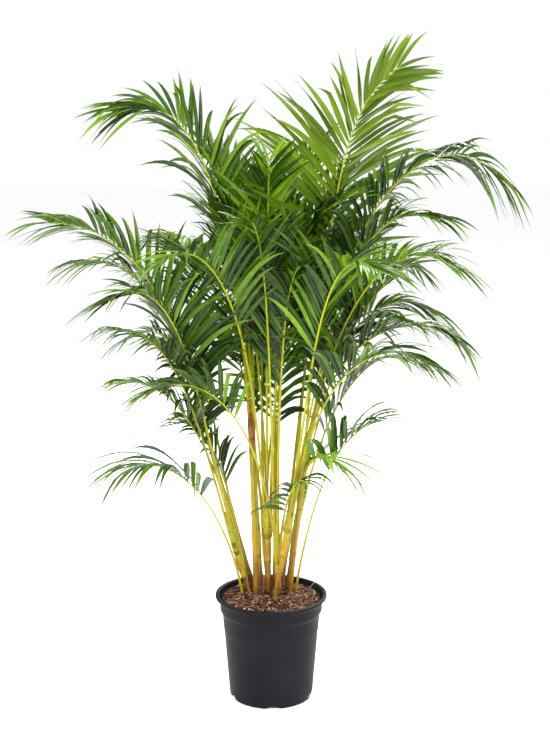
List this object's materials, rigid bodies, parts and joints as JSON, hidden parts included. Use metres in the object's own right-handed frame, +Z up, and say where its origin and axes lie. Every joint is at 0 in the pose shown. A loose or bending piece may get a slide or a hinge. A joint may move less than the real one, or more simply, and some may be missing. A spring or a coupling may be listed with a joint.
{
  "type": "potted palm",
  "caption": "Multi-stemmed feather palm with arching fronds on yellow canes, planted in soil in a round tapered nursery pot",
  "frame": {"origin": "the centre of the pot's foot at floor level, which is within the check's tolerance of the middle of the whole plant's box", "axes": "+Z up, along the pot's axis; the plant's front faces -Y; +X to its right as seen from the front"},
  "size_m": [1.0565, 0.8002, 1.421],
  "materials": {
    "pot": "matte black moulded plastic with a slightly glossy lip",
    "soil": "moist bark and peat soil with pale grains",
    "cane": "smooth golden yellow cane with ring scars",
    "frond": "glossy green leaflets on yellow-green stalks",
    "dry_sheath": "dry brown fibre"
  },
  "bodies": {
    "root": {"pot": "pot", "soil": "soil", "cane1": "cane", "cane2": "cane", "cane3": "cane", "cane4": "cane", "cane5": "cane", "cane6": "cane", "cane7": "cane", "cane8": "cane", "cane9": "cane", "cane10": "cane", "cane11": "cane", "cane12": "cane", "frond1": "frond", "frond2": "frond", "frond3": "frond", "frond4": "frond", "frond5": "frond", "frond6": "frond", "frond7": "frond", "frond8": "frond", "frond9": "frond", "frond10": "frond", "frond11": "frond", "frond12": "frond", "frond13": "frond", "frond14": "frond", "frond15": "frond", "frond16": "frond", "frond17": "frond", "frond18": "frond", "frond19": "frond", "frond20": "frond", "frond21": "frond", "frond22": "frond", "frond23": "frond", "frond24": "frond", "frond25": "frond", "frond26": "frond", "frond27": "frond", "frond28": "frond", "frond29": "frond", "frond30": "frond", "frond31": "frond", "frond32": "frond", "frond33": "frond", "frond34": "frond", "frond35": "frond", "frond36": "frond", "frond37": "frond", "frond38": "frond", "frond39": "frond", "frond40": "frond", "frond41": "frond", "drySheath1": "dry_sheath", "drySheath2": "dry_sheath", "straw": "dry_sheath", "fallenLeaf": "frond"}
  },
  "joints": []
}
